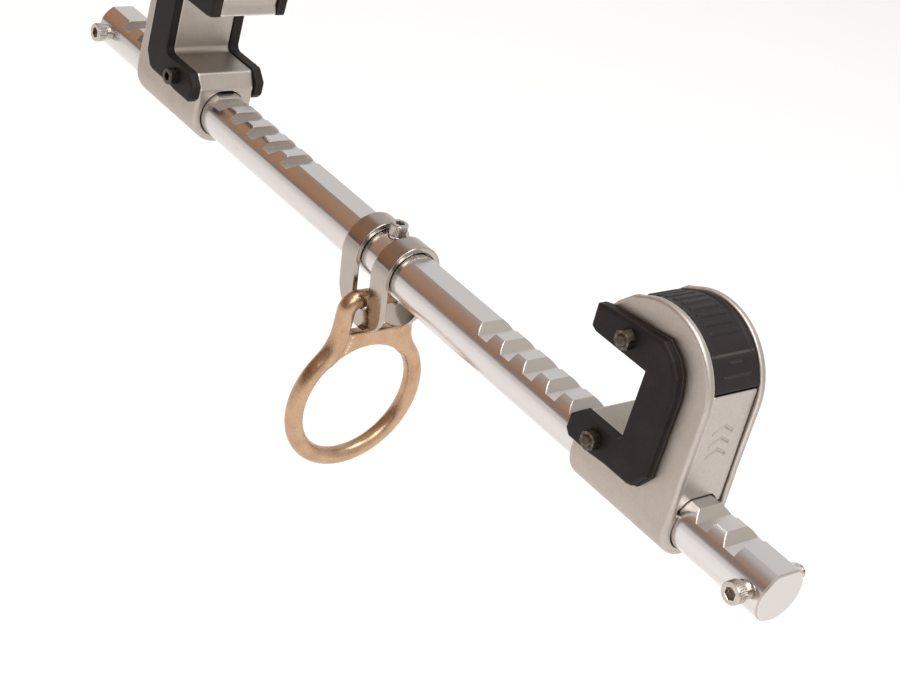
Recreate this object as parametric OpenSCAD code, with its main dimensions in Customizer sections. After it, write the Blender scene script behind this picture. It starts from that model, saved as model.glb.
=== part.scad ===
// Sliding beam anchor: a notched bar with two ratcheting C-shaped jaws that hook over the
// flanges of a beam, and a stirrup with a D-ring that hangs under the middle of the bar.
// +X runs along the bar towards the near jaw and +Z is up. The origin is the middle of the
// plane in which the jaws' upper lips bear on the beam's flange.

/* [Bar] */
// Diameter of the round bar
bar_d = 25.4; // [25:0.1:26]
// Overall length of the bar
bar_length = 526; // [524:1:532]
// Height of the milled flat above the bar's axis
flat_z = 11.2; // [11:0.1:11.3]
// Depth of each notch below the flat
notch_depth = 3.8; // [3.4:0.1:4]
// Distance from one notch to the next
pitch = 15.875; // [15.8:0.005:15.9]
// Distance from the middle of the bar to the first notch's upright face
first_face = 84.5; // [84.3:0.1:84.7]
// Length of the flat left on top of each tooth
tooth_land = 6.05; // [5.9:0.05:6.2]
// Length of each tooth's slope along the bar
slope_run = 4; // [3.8:0.1:4.2]
// Number of notches on each half of the bar
notch_count = 11; // [9:1:11]
// Half length of the full round stretch under the stirrup
round_half = 21; // [19:1:24]

/* [Jaws] */
// Notch that the latches stand in, counted from the middle, the first being 0
rest_notch = 8; // [8:1:8]
// Distance from the mouth's wall to the notch's upright face
wall_to_face = 30.1; // [30:0.1:30.2]
// Height of the lower lip's bearing face above the bar's axis
lip_z = 22.3; // [22:0.1:23]
// Height of the mouth between the lips
mouth_h = 34.2; // [33:0.1:36]
// Width of the jaw's casting
jaw_w = 34; // [33:0.5:35]
// Width of the slot between the jaw's cheeks
slot_w = 26.8; // [26:0.1:27]
// Thickness of each wear plate
plate_t = 5.6; // [5:0.1:6]
// Gap that the casting stands back from the wear plates' bearing edges
plate_proud = 0.8; // [0.5:0.1:1]
// Radius of the jaw's rounded back
back_r = 32.5; // [32:0.1:33]
// Thickness of the top cover's shell
cover_t = 3; // [2.5:0.1:3.2]

/* [Latch] */
// Thickness of the release lever's thumb plate
lever_t = 2.6; // [2.4:0.1:2.8]
// Thickness of the spring-steel pawl leaf
pawl_t = 2.6; // [2.4:0.1:2.7]
// Radius of the lever's pivot pin
lever_pin_r = 2; // [1.8:0.1:2.2]
// Mean radius of the return spring
spring_r = 4; // [3.5:0.1:4.5]
// Diameter of the return spring's wire
spring_wire = 0.9; // [0.8:0.1:1]

/* [Stirrup and ring] */
// Width of each band of the stirrup
band_w = 11.4; // [11:0.1:11.6]
// Thickness of the stirrup's strip
band_t = 3; // [2.8:0.1:3.2]
// Width of the window between the two bands
window_w = 12.4; // [12.2:0.1:12.8]
// Inward lean of the stirrup's legs in degrees
leg_lean = 10; // [9:0.5:11]
// Diameter of the D-ring's round section
ring_wire = 9.4; // [9:0.1:9.6]
// Mean radius of the D-ring's round part
ring_r = 35.3; // [35:0.1:36]
// Depth of the D-ring's round part's centre below the bar's axis
ring_drop = 78; // [77:0.5:80]

/* [Fasteners] */
// Shank diameter of the wear plates' through bolts
bolt_d = 5; // [5:0.1:5.2]
// Shank diameter of the stop screws at the bar's ends
end_screw_d = 6; // [6:0.1:6.2]
// Distance of the stop screws from the middle of the bar
end_screw_x = 254; // [253:0.5:254]

/* [Hidden] */
$fn = 64;

fit = 0.08;          // radial running clearance of a pin in its hole
clear = 0.3;         // clearance between parts that slide past each other
over = 60;           // overshoot of a cutting shape
bar_r = bar_d / 2;
floor_z = flat_z - notch_depth;
bore_r = bar_r + clear;
bore_top = flat_z + 1.3;
mouth_top = lip_z + mouth_h;
seat_z = mouth_top;
jaw_x = first_face + rest_notch * pitch - wall_to_face;
half_w = jaw_w / 2;
slot_half = slot_w / 2;
plate_y = half_w + plate_t;

// Jaw: lengths are measured from the mouth's wall, outwards along the bar
inner_end = -28.6;
outer_end = 32.3;
back_c = [-1.9, 51.5];
cover_from = 15;
cover_to = 150;
cover_foot = [[21, 64.4], [36, 57.6]];
slot_low_z = 6;
lever_low = 7.5;
cover_r = back_r - 0.7;
web_back = 6.5;
pivot = [7.1, 18];
boss_r = 4;
bolt_x = -12.8;
bolt_z = [15.2, 63.7];
nut_h = 4.2;
head_h = 5;
lever_top = [28.5, 60.6];
lever_foot = [30.6, flat_z + 0.5];
lever_half = slot_half - 0.4;
arm_w = 3.4;
pawl_half = 6.2;
pawl_out = 27.7;
pawl_top = 27;
rivet_z = [17.5, 23.5];
rivet_r = 1.6;
rivet_in = 1.6;
spring_z = 47;
spring_turns = 6;

// Stirrup and ring
band_in = bar_r + 0.4;
stirrup_half = window_w / 2 + band_w;
cross_z = -20.1;
arc_z = cross_z - ring_wire / 2 - 0.2 + window_w / 2;
side_y = 19.2;
slot_low = cross_z - 18.2;
web_t = 6;
corner_r = 6;
neck_turn = 42;
layer_r = ring_wire / 2 - 0.05;
layer_turns = [15, 45, 75];
neck_r = (ring_r * cos(neck_turn) - side_y) / (1 - cos(neck_turn));
neck_z = (ring_r + neck_r) * sin(neck_turn) - ring_drop;

// A rod along Y between two stations
module y_rod(r, from, to) {
    translate([0, to, 0]) rotate([90, 0, 0]) cylinder(r = r, h = to - from);
}

// A profile drawn in X and Z, extruded between two stations along Y
module side_plate(from, to) {
    translate([0, to, 0]) rotate([90, 0, 0]) linear_extrude(to - from) children();
}

// A profile drawn in Y and Z, extruded between two stations along X
module x_bar(from, to) {
    translate([from, 0, 0]) rotate([90, 0, 90]) linear_extrude(to - from) children();
}

// The bar's axis hangs below the flange's bearing plane
module hung() {
    translate([0, 0, -seat_z]) children();
}

module on_near() {
    hung() translate([jaw_x, 0, 0]) children();
}

module on_far() {
    hung() rotate([0, 0, 180]) translate([jaw_x, 0, 0]) children();
}

module both_ends() {
    for (side = [-1, 1]) translate([side * end_screw_x, 0, 0]) children();
}

// The material milled off the top of one half of the bar
module milled_profile() {
    polygon([[round_half, over], [round_half, flat_z], [bar_length, flat_z], [bar_length, over]]);
    for (i = [0 : notch_count - 1]) {
        face = first_face + i * pitch;
        polygon([[face, over], [face, floor_z],
            [face - pitch + tooth_land + slope_run, floor_z],
            [face - pitch + tooth_land, flat_z], [face - pitch + tooth_land, over]]);
    }
}

module bar() hung() color([0.80, 0.78, 0.76]) {
    difference() {
        rotate([0, 90, 0]) cylinder(r = bar_r, h = bar_length, center = true);
        for (turn = [0, 180]) rotate([0, 0, turn]) side_plate(-over, over) milled_profile();
        both_ends() {
            y_rod(end_screw_d / 2 + fit, -over, over);
            y_rod(4.4, -over, -12.2);
            y_rod(5.2, 12.2, over);
        }
        translate([0, 0, 1]) cylinder(r = bolt_d / 2 + fit, h = over);
        translate([0, 0, 12.4]) cylinder(r = 4.6, h = over);
    }
}

// A socket-head screw with its head's underside at z = 0 and its shank along -Z
module socket_screw(shank_r, shank_l, head_r, head_len, key_r) {
    difference() {
        union() {
            cylinder(r = head_r, h = head_len);
            translate([0, 0, -shank_l]) cylinder(r = shank_r, h = shank_l);
        }
        translate([0, 0, head_len * 0.45]) cylinder(r = key_r, h = head_len, $fn = 6);
    }
}

// A plain hexagon nut from z = 0 upwards
module hex_nut(flats, height, hole_r) {
    difference() {
        cylinder(r = flats / sqrt(3), h = height, $fn = 6);
        translate([0, 0, -1]) cylinder(r = hole_r, h = height + 2);
    }
}

module centre_screw() hung() color([0.66, 0.63, 0.60]) {
    translate([0, 0, 13.6]) socket_screw(bolt_d / 2, 12, 4.3, 6, 2.4);
}

module centre_washer() hung() color([0.62, 0.60, 0.57]) {
    translate([0, 0, 12.4]) difference() {
        cylinder(r = 4.4, h = 1.2);
        translate([0, 0, -1]) cylinder(r = bolt_d / 2 + fit, h = 4);
    }
}

module end_screws() hung() color([0.66, 0.63, 0.60]) {
    both_ends() translate([0, -15.2, 0]) rotate([90, 0, 0])
        socket_screw(end_screw_d / 2, 37, 5, 5, 2.9);
}

module end_spacers() hung() color([0.70, 0.68, 0.65]) {
    both_ends() difference() {
        y_rod(4.2, -15.2, -12.2);
        y_rod(end_screw_d / 2 + fit, -over, over);
    }
}

module end_nuts() hung() color([0.66, 0.63, 0.60]) {
    both_ends() translate([0, 12.2, 0]) rotate([-90, 0, 0])
        hex_nut(8.6, 6, end_screw_d / 2 + fit);
}

// An arch of the given radius over the bar, on legs that lean in below it, in Y and Z
module arch(radius) {
    tangent = [radius * cos(leg_lean), -radius * sin(leg_lean)];
    foot = tangent - over * [sin(leg_lean), cos(leg_lean)];
    circle(r = radius);
    polygon([[-tangent[0], tangent[1]], [-foot[0], foot[1]], foot, tangent]);
}

// The outline of the strip seen along Y: a tall loop with a round foot
module stirrup_outline(half) {
    translate([-half, arc_z]) square([2 * half, over]);
    translate([0, arc_z]) circle(r = half);
}

module stirrup() hung() color([0.70, 0.66, 0.61]) {
    intersection() {
        difference() {
            x_bar(-stirrup_half, stirrup_half) arch(band_in + band_t);
            x_bar(-over, over) arch(band_in);
        }
        difference() {
            side_plate(-over, over) stirrup_outline(stirrup_half);
            side_plate(-over - 1, over + 1) stirrup_outline(window_w / 2);
        }
    }
}

// One side of the D-ring's wire in Y and Z, at the given distance outside its centre line
function ring_side(out) = concat(
    [for (turn = [90 : -15 : 0])
        [side_y - corner_r, cross_z - corner_r] + (corner_r + out) * [cos(turn), sin(turn)]],
    [for (turn = [0 : 6 : neck_turn])
        [side_y + neck_r, neck_z] - (neck_r - out) * [cos(turn), sin(turn)]],
    [for (turn = [neck_turn - 6 : -6 : -90])
        [0, -ring_drop] + (ring_r + out) * [cos(turn), sin(turn)]]);

function ring_loop(out) = let (side = ring_side(out)) concat(
    [for (p = side) [-p[0], p[1]]], [for (i = [len(side) - 2 : -1 : 0]) side[i]]);

// The wire's round section is built up from flat layers around a true round crossbar
module d_ring() hung() color([0.73, 0.55, 0.39]) {
    for (turn = layer_turns) {
        depth = layer_r * sin(turn);
        x_bar(-depth, depth) difference() {
            polygon(ring_loop(layer_r * cos(turn)));
            polygon(ring_loop(-layer_r * cos(turn)));
        }
    }
    translate([0, 0, cross_z]) y_rod(ring_wire / 2, corner_r - side_y, side_y - corner_r);
    difference() {
        x_bar(-web_t / 2, web_t / 2)
            polygon([[side_y, slot_low], [-side_y, slot_low], [-23, -46.5], [-29, -56],
                [29, -56], [23, -46.5]]);
        translate([0, 0, -ring_drop]) rotate([0, 90, 0])
            cylinder(r = ring_r - ring_wire / 2, h = over, center = true);
    }
}

// The jaw's silhouette from the side, with no mouth
module jaw_outline() {
    translate(back_c) circle(r = back_r);
    polygon([back_c, [-12.3, 82.3], [-22.5, 77.6], [-29.5, 70.6], [-32.8, 66],
        [-32, mouth_top - 1]]);
    polygon([back_c, [0, mouth_top], [-24, 24], [-24, lip_z - plate_proud], [inner_end, 14],
        [inner_end, -half_w], [outer_end, -half_w], [outer_end, 4], [31.2, 22],
        [back_c[0] + back_r, back_c[1]]]);
}

// The jaw's mouth, with rounded inner corners
module mouth_profile(wall, low, high, low_r, high_r) {
    translate([-over, low + low_r]) square([over + wall, high - low - low_r - high_r]);
    translate([-over, low]) square([over + wall - low_r, low_r + 1]);
    translate([-over, high - high_r - 1]) square([over + wall - high_r, high_r + 1]);
    translate([wall - low_r, low + low_r]) circle(r = low_r);
    translate([wall - high_r, high - high_r]) circle(r = high_r);
}

// A band around the centre of the jaw's rounded back
module back_sector(inner, outer, from, to) {
    sweep = to - from;
    translate(back_c) rotate(from) intersection() {
        difference() {
            circle(r = outer, $fn = 128);
            circle(r = inner, $fn = 128);
        }
        polygon([[0, 0], [over, 0], over * [cos(sweep / 2), sin(sweep / 2)] / cos(sweep / 2),
            over * [cos(sweep), sin(sweep)]]);
    }
}

// A section in Y and Z that is round below and flat above the bar's flat
module flat_topped(radius, top) {
    intersection() {
        circle(r = radius);
        translate([-over, -over]) square([2 * over, over + top]);
    }
}

module jaw_body() color([0.72, 0.69, 0.65]) {
    difference() {
        intersection() {
            side_plate(-half_w, half_w) jaw_outline();
            x_bar(-over, over) {
                circle(r = half_w);
                translate([-half_w, 0]) square([jaw_w, 2 * over]);
            }
        }
        side_plate(-over, over)
            mouth_profile(plate_proud, lip_z - plate_proud, mouth_top + plate_proud, 3.5, 3.5);
        x_bar(-over, over) flat_topped(bore_r, bore_top);
        // Groove for the cover, and the latch chamber below and behind it
        side_plate(-slot_half, slot_half) {
            back_sector(cover_r - cover_t - 0.2, back_r + 5, cover_from, cover_to);
            intersection() {
                translate(back_c) circle(r = cover_r - cover_t - 0.1);
                translate([web_back, 30]) square([over, over]);
            }
            translate([web_back, slot_low_z]) square([over, lever_top[1] + 1 - slot_low_z]);
            translate([pivot[0] - boss_r - 0.5, slot_low_z])
                square([over, pivot[1] + boss_r + 0.6 - slot_low_z]);
        }
        translate([pivot[0], 0, pivot[1]]) y_rod(lever_pin_r + 0.02, -over, over);
        for (z = bolt_z) translate([bolt_x, 0, z]) y_rod(bolt_d / 2 + fit, -over, over);
    }
}

// One wear plate's outline
module plate_outline() {
    difference() {
        polygon([[-24, lip_z], [-29.6, 16.8], [-29.6, 10], [-27, 7.2], [9.5, 7.2], [12.8, 8.2],
            [18.2, 16], [18.2, 54], [16, 63], [11.5, 68.8], [4, 73.4], [-31, 68.6],
            [-34.2, 67.6], [-33.8, mouth_top + 0.8], [-32.2, mouth_top], [-8, 40]]);
        mouth_profile(0, lip_z, mouth_top, 0.8, 3.5);
    }
}

module wear_plate(side) color([0.15, 0.12, 0.11]) {
    inner = side > 0 ? half_w : -plate_y;
    difference() {
        side_plate(inner, inner + plate_t) plate_outline();
        for (z = bolt_z) translate([bolt_x, 0, z]) y_rod(bolt_d / 2 + fit, -over, over);
    }
}

module plate_bolts() color([0.20, 0.18, 0.17]) {
    for (z = bolt_z) translate([bolt_x, plate_y, z]) rotate([-90, 0, 0])
        socket_screw(bolt_d / 2, 2 * plate_y + nut_h + 1, 4.25, head_h, 2.3);
}

module plate_nuts() color([0.30, 0.27, 0.24]) {
    for (z = bolt_z) translate([bolt_x, -plate_y, z]) rotate([90, 0, 0])
        hex_nut(8, nut_h, bolt_d / 2 + fit);
}

module top_cover() color([0.16, 0.13, 0.12]) {
    half = slot_half - 0.15;
    // Its lower end slopes so that the lever's top can swing in below it
    side_plate(-half, half) difference() {
        back_sector(cover_r - cover_t, cover_r, cover_from, cover_to);
        polygon([cover_foot[0], [cover_foot[0][0], 40], [cover_foot[1][0], 40], cover_foot[1]]);
    }
    // Thumb ridge near the cover's lower edge
    side_plate(-half + 2.5, half - 2.5)
        back_sector(cover_r - 1, cover_r + 0.6, cover_from + 14, cover_from + 16);
}

// The release lever: a thumb plate, two arms and the pivot's bosses
module release_lever() color([0.70, 0.67, 0.64]) {
    difference() {
        union() {
            side_plate(-lever_half, lever_half)
                polygon([lever_top, [lever_foot[0], lever_foot[1]], [lever_foot[0] + 0.1, lever_low],
                    [lever_foot[0] - lever_t, lever_low], [lever_top[0] - lever_t, lever_top[1] - 0.6]]);
            for (side = [-1, 1]) {
                start = side > 0 ? lever_half - arm_w : -lever_half;
                side_plate(start, start + arm_w) {
                    translate(pivot) circle(r = boss_r);
                    polygon([[pivot[0], pivot[1] + boss_r], [20, 30],
                        [lever_foot[0] - lever_t - 0.8, 38], [lever_foot[0] - lever_t + 0.3, 38],
                        [lever_foot[0] - lever_t + 0.3, bore_top + 0.8],
                        [pivot[0], pivot[1] - boss_r]]);
                }
            }
        }
        translate([pivot[0], 0, pivot[1]]) y_rod(lever_pin_r + fit, -over, over);
        // The foot clears the bar's flat and its round shoulders
        x_bar(-over, over) flat_topped(bar_r + 0.5, flat_z + 0.5);
        // Seat for the pawl, and blind holes for its rivets
        translate([0, -pawl_half - 0.1, 0]) cube([pawl_out, 2 * pawl_half + 0.2, pawl_top + 0.1]);
        for (z = rivet_z) translate([0, 0, z]) rotate([0, 90, 0])
            cylinder(r = rivet_r, h = pawl_out + rivet_in);
    }
}

// The pawl: a spring-steel leaf whose foot stands in a notch of the bar
module latch_pawl() color([0.55, 0.53, 0.52]) {
    difference() {
        translate([pawl_out - pawl_t, -pawl_half, floor_z + 0.4])
            cube([pawl_t, 2 * pawl_half, pawl_top - floor_z - 0.4]);
        for (z = rivet_z) translate([0, 0, z]) rotate([0, 90, 0])
            cylinder(r = rivet_r, h = over);
    }
}

module pawl_rivets() color([0.60, 0.58, 0.56]) {
    for (z = rivet_z) translate([pawl_out - pawl_t, 0, z]) rotate([0, 90, 0]) {
        cylinder(r = rivet_r - 0.02, h = pawl_t + rivet_in - 0.1);
        translate([0, 0, -1.2]) cylinder(r = 2.6, h = 1.2);
    }
}

module lever_pin() color([0.55, 0.53, 0.52]) {
    translate([pivot[0], 0, pivot[1]]) y_rod(lever_pin_r, -half_w + 0.2, half_w - 0.2);
}

// The return spring, a helix between the web and the thumb plate
module lever_spring() color([0.60, 0.58, 0.55]) {
    steps = 10;
    sides = 6;
    start = web_back + spring_wire / 2 + 0.1;
    stop = lever_top[0] - lever_t - spring_wire / 2 + 0.2;
    count = spring_turns * steps;
    rings = [for (i = [0 : count])
        let (t = 360 * i / steps, x = start + (stop - start) * i / count)
        [for (k = [0 : sides - 1])
            let (a = 360 * k / sides, r = spring_r + spring_wire / 2 * cos(a))
            [x + spring_wire / 2 * sin(a), r * cos(t), spring_z + r * sin(t)]]];
    points = [for (ring = rings) for (p = ring) p];
    walls = [for (i = [0 : count - 1], k = [0 : sides - 1])
        let (a = i * sides + k, b = i * sides + (k + 1) % sides)
        [a, b, b + sides, a + sides]];
    first_cap = [for (k = [0 : sides - 1]) sides - 1 - k];
    last_cap = [for (k = [0 : sides - 1]) count * sides + k];
    polyhedron(points = points, faces = concat([first_cap, last_cap], walls), convexity = 10);
}

module near_jaw_body() on_near() jaw_body();
module near_nut_side_plate() on_near() wear_plate(-1);
module near_head_side_plate() on_near() wear_plate(1);
module near_plate_bolts() on_near() plate_bolts();
module near_plate_nuts() on_near() plate_nuts();
module near_top_cover() on_near() top_cover();
module near_release_lever() on_near() release_lever();
module near_latch_pawl() on_near() latch_pawl();
module near_pawl_rivets() on_near() pawl_rivets();
module near_lever_pin() on_near() lever_pin();
module near_lever_spring() on_near() lever_spring();

module far_jaw_body() on_far() jaw_body();
module far_nut_side_plate() on_far() wear_plate(-1);
module far_head_side_plate() on_far() wear_plate(1);
module far_plate_bolts() on_far() plate_bolts();
module far_plate_nuts() on_far() plate_nuts();
module far_top_cover() on_far() top_cover();
module far_release_lever() on_far() release_lever();
module far_latch_pawl() on_far() latch_pawl();
module far_pawl_rivets() on_far() pawl_rivets();
module far_lever_pin() on_far() lever_pin();
module far_lever_spring() on_far() lever_spring();

bar();
centre_screw();
centre_washer();
end_screws();
end_spacers();
end_nuts();
stirrup();
d_ring();
near_jaw_body();
near_nut_side_plate();
near_head_side_plate();
near_plate_bolts();
near_plate_nuts();
near_top_cover();
near_release_lever();
near_latch_pawl();
near_pawl_rivets();
near_lever_pin();
near_lever_spring();
far_jaw_body();
far_nut_side_plate();
far_head_side_plate();
far_plate_bolts();
far_plate_nuts();
far_top_cover();
far_release_lever();
far_latch_pawl();
far_pawl_rivets();
far_lever_pin();
far_lever_spring();
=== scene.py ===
"""Looks for the sliding beam anchor: every visible CAD node gets a detailed mesh and a procedural
material. Lengths in the modelling functions are millimetres about the bar's axis; place() turns
them into the frame's metres."""

import math

import bpy
import numpy as np
from mathutils import Matrix, Vector


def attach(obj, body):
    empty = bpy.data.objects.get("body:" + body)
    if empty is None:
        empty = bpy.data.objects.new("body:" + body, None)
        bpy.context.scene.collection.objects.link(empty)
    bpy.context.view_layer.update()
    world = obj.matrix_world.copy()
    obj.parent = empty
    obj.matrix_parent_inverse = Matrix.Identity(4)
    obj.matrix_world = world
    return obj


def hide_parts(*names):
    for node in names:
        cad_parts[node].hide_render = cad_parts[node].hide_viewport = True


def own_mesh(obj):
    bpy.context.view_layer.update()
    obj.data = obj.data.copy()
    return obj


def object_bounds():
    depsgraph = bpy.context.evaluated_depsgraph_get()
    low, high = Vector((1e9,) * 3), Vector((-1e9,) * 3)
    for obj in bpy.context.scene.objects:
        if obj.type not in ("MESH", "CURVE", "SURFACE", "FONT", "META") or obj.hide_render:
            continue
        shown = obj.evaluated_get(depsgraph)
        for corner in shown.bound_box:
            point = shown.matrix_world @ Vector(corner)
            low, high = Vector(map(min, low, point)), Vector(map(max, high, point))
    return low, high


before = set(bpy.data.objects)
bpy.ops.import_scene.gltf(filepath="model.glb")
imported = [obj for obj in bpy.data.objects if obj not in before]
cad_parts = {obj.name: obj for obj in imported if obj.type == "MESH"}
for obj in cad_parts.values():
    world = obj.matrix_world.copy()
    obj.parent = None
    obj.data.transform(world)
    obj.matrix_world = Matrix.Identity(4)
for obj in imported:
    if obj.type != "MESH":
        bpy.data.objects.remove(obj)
cad_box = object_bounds()

MM = 0.001
SEAT_Z = 56.5              # height of the upper lips' bearing plane above the bar's axis
JAW_X = 181.4              # distance of each mouth's wall from the middle of the bar

# Bar
BAR_R = 12.7
BEVEL = 0.3
BAR_HALF = 263.0
FLAT_Z = 11.2
FLOOR_Z = 7.4
PITCH = 15.875
FIRST_FACE = 84.5
TOOTH_LAND = 6.05
SLOPE_RUN = 4.0
NOTCHES = 11
ROUND_HALF = 21.0
END_SCREW_X = 254.0

# Jaws, measured outwards along the bar from the mouth's wall
LIP_Z = 22.3
MOUTH_TOP = SEAT_Z
HALF_W = 17.0
SLOT_HALF = 13.4
SLOT_Z = 6.0
PLATE_T = 5.6
PLATE_PROUD = 0.8
PLATE_Y = HALF_W + PLATE_T
BACK_C = (-1.9, 51.5)
BACK_R = 32.5
COVER_R = 31.8
COVER_T = 3.0
COVER_ANGLES = (15.0, 150.0)
COVER_FOOT = ((21.0, 64.4), (36.0, 57.6))   # line along which the cover's lower end is cut
PANEL_HALF = 10.6
RIB_HALF = 8.2
RIB_PITCH = 4.6
THUMB_RIDGES = ((16.4, 8.0), (21.6, 3.2))   # place around the back, half width
WEB_BACK = 6.5
PIVOT = (7.1, 18.0)
BOSS_R = 4.0
BOLT_X = -12.8
BOLT_Z = (15.2, 63.7)
NUT_H = 4.2
LEVER_TOP = (28.5, 60.6)
LEVER_FOOT = (30.6, 11.7)
LEVER_T = 2.6
LEVER_HALF = 13.0
LEVER_LOW = 7.5
CHEVRON_PEAKS = (45.5, 40.0, 34.5)
ARM_IN = 9.6
PAWL_OUT = 27.7
SPRING_Z = 47.0
SPRING_BACK = WEB_BACK + 0.55

# Stirrup and D-ring
BAND_IN = 13.1
BAND_T = 3.0
BAND_W = 11.4
WINDOW_W = 12.4
LEG_LEAN = 10.0
CROSS_Z = -20.1
WINDOW_Z = -18.8          # centre of the round lower end of the stirrup's window
RING_WIRE = 8.96
RING_R = 35.3
RING_Z = -78.0
SIDE_Y = 19.2
CORNER_R = 6.0
NECK_TURN = 42.0
SLOT_LOW = -38.3
WEB_T = 6.0


# ---------------------------------------------------------------- placing and mesh making

def place(side=0):
    """Millimetres about the bar's axis to metres in the frame: side 1 and -1 add the jaws' places."""
    hung = Matrix.Translation((0, 0, -SEAT_Z * MM)) @ Matrix.Scale(MM, 4)
    if side == 0:
        return hung
    turn = Matrix.Rotation(math.pi if side < 0 else 0, 4, "Z")
    return hung @ turn @ Matrix.Translation((JAW_X, 0, 0))


def make_piece(name, points, faces, where, normals=None, sharp=None):
    """A mesh object of those points after the matrix where, shaded smooth."""
    matrix = np.array(where)
    points = np.asarray(points, float) @ matrix[:3, :3].T + matrix[:3, 3]
    mesh = bpy.data.meshes.new(name)
    mesh.from_pydata(points.tolist(), [], [list(map(int, f)) for f in faces])
    mesh.validate()
    mesh.shade_smooth()
    if sharp is not None:
        mesh.set_sharp_from_angle(angle=math.radians(sharp))
    if normals is not None:
        turned = np.asarray(normals, float) @ matrix[:3, :3].T
        turned /= np.linalg.norm(turned, axis=1)[:, None]
        mesh.normals_split_custom_set_from_vertices(turned.tolist())
    piece = bpy.data.objects.new(name, mesh)
    bpy.context.scene.collection.objects.link(piece)
    return piece


def dress(piece, material, body, slot, *nodes):
    piece.data.materials.append(material)
    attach(piece, body)
    if nodes:
        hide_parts(*nodes)
    return piece


# ---------------------------------------------------------------- solids from distance fields

def both(a, b, r=0.0):
    """Where a and b are both inside, with the edge between them rounded to radius r."""
    corner = np.sqrt(np.maximum(a + r, 0) ** 2 + np.maximum(b + r, 0) ** 2)
    return np.minimum(np.maximum(a, b), -r) + corner


def either(a, b, r=0.0):
    """Where a or b is inside, with the corner between them filled to radius r."""
    return -both(-a, -b, r)


def cut(a, b, r=0.0):
    """Where a is inside and b is not."""
    return both(a, -b, r)


def outline(x, y, points):
    """Signed distance to a polygon, negative inside."""
    best = np.full(np.broadcast(x, y).shape, 1e9)
    inside = np.zeros(best.shape, bool)
    for (ax, ay), (bx, by) in zip(points, points[1:] + points[:1]):
        ex, ey = bx - ax, by - ay
        t = np.clip(((x - ax) * ex + (y - ay) * ey) / (ex * ex + ey * ey), 0, 1)
        best = np.minimum(best, (x - ax - ex * t) ** 2 + (y - ay - ey * t) ** 2)
        crosses = (ay > y) != (by > y)
        inside ^= crosses & (x < ex * (y - ay) / (ey if ey else 1e-9) + ax)
    return np.where(inside, -1, 1) * np.sqrt(best)


def distance_to_path(x, y, points):
    """Distance to a line through the points."""
    best = np.full(np.broadcast(x, y).shape, 1e9)
    for (ax, ay), (bx, by) in zip(points, points[1:]):
        ex, ey = bx - ax, by - ay
        t = np.clip(((x - ax) * ex + (y - ay) * ey) / (ex * ex + ey * ey), 0, 1)
        best = np.minimum(best, (x - ax - ex * t) ** 2 + (y - ay - ey * t) ** 2)
    return np.sqrt(best)


def sample(field, at):
    """Trilinear values of the field at grid positions."""
    low = np.clip(np.floor(at).astype(int), 0, np.array(field.shape) - 2)
    t = at - low
    out = np.zeros(len(at))
    for corner in np.ndindex(2, 2, 2):
        weight = np.prod(np.where(corner, t, 1 - t), axis=1)
        i, j, k = (low + corner).T
        out += weight * field[i, j, k]
    return out


def surface(shape, low, high, step):
    """The zero surface of a distance field: points, quads and exact normals."""
    x, y, z = (np.arange(a - 2 * step, b + 3 * step, step) for a, b in zip(low, high))
    field = shape(x[:, None, None], y[None, :, None], z[None, None, :]).astype(np.float32)
    inside = field < 0
    cells = np.array(field.shape) - 1
    keys, spots = [], []
    for axis in range(3):
        order = [axis] + [a for a in range(3) if a != axis]
        f, s = field.transpose(order), inside.transpose(order)
        i, j, k = np.nonzero(s[:-1] != s[1:])
        t = f[i, j, k] / (f[i, j, k] - f[i + 1, j, k])
        spot = np.empty((len(i), 3))
        spot[:, order[0]], spot[:, order[1]], spot[:, order[2]] = i + t, j, k
        quad = []
        for dj, dk in ((-1, -1), (0, -1), (0, 0), (-1, 0)):
            index = np.empty((3, len(i)), int)
            index[order[0]], index[order[1]], index[order[2]] = i, j + dj, k + dk
            quad.append(np.ravel_multi_index(index, cells, mode="clip"))
        quad = np.stack(quad, 1)
        forward = s[i, j, k] if axis != 1 else ~s[i, j, k]
        quad[~forward] = quad[~forward][:, ::-1]
        keys.append(quad)
        spots.append(spot)
    keys, spots = np.concatenate(keys), np.concatenate(spots)
    used, faces = np.unique(keys, return_inverse=True)
    faces = faces.reshape(keys.shape)
    count = np.bincount(faces.ravel(), minlength=len(used))
    at = np.stack([np.bincount(faces.ravel(), np.repeat(spots[:, a], 4), len(used)) / count
                   for a in range(3)], 1)
    slope = np.zeros((len(at), 3))
    for _ in range(2):
        for a in range(3):
            reach = np.zeros(3)
            reach[a] = 0.8
            slope[:, a] = (sample(field, at + reach) - sample(field, at - reach)) / 1.6
        size = np.maximum((slope ** 2).sum(1), 1e-9)
        move = np.clip(sample(field, at) / size, -0.5, 0.5)
        at -= slope * move[:, None]
    points = at * step + np.array([x[0], y[0], z[0]])
    return points, faces, slope / np.sqrt(size)[:, None]


def mouth(u, z, wall, low, high, r):
    """The gap that takes the beam's flange, open on the side away from its wall."""
    return both(u - wall, np.abs(z - (low + high) / 2) - (high - low) / 2, r)


def wedge(u, z, angles):
    """Inside the two rays from the centre of the jaw's rounded back."""
    low, high = (math.radians(a) for a in angles)
    du, dz = u - BACK_C[0], z - BACK_C[1]
    return np.maximum(math.sin(low) * du - math.cos(low) * dz,
                      -math.sin(high) * du + math.cos(high) * dz)


def back_distance(u, z):
    return np.hypot(u - BACK_C[0], z - BACK_C[1])


def flat_topped(y, z, radius, top):
    """The bar's section: a circle with a flat cut across its top."""
    return both(np.hypot(y, z) - radius, z - top)


def back_and_nose(u, z):
    """The jaw's outline over its rounded back and down to the upper lip."""
    nose = outline(u, z, [BACK_C, (-12.3, 82.3), (-22.5, 77.6), (-29.5, 70.6), (-32.8, 66),
                          (-32, MOUTH_TOP - 1)])
    return np.minimum(back_distance(u, z) - BACK_R, nose)


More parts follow.
